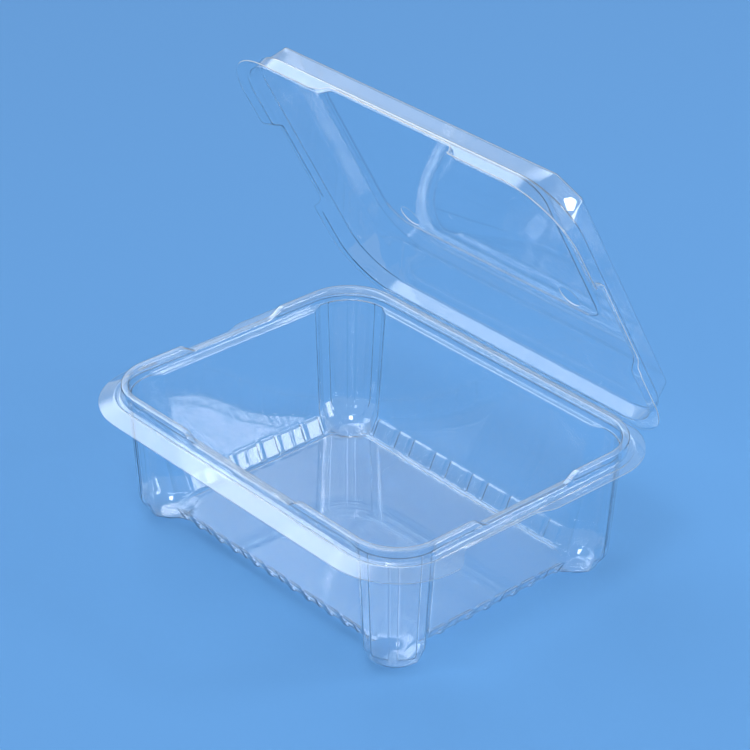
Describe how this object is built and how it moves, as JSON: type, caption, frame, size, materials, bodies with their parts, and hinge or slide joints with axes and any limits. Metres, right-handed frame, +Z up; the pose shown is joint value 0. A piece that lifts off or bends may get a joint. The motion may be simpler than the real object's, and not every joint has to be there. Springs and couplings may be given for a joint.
{
  "type": "plastic clamshell pack",
  "caption": "Clear thermoformed clamshell pack: a deep ribbed tray with fluted corners and a shallow vented lid joined by a fold hinge.",
  "frame": {"origin": "on the surface the corner feet stand on, under the middle of the pack with its lid standing open", "axes": "+Z up, +X along the hinge, +Y from the opening edge towards the hinge"},
  "size_m": [0.206, 0.1645, 0.1971],
  "materials": {
    "clear_sheet": "clear glossy PET sheet"
  },
  "bodies": {
    "tray": {"tray": "clear_sheet"},
    "lid": {"lid": "clear_sheet"}
  },
  "joints": [
    {"name": "lid_hinge", "type": "hinge", "parent": "tray", "child": "lid", "pos_m": [0, 0.078, 0.0601], "axis": [-1, 0, 0], "range_deg": [-61, 119]}
  ]
}
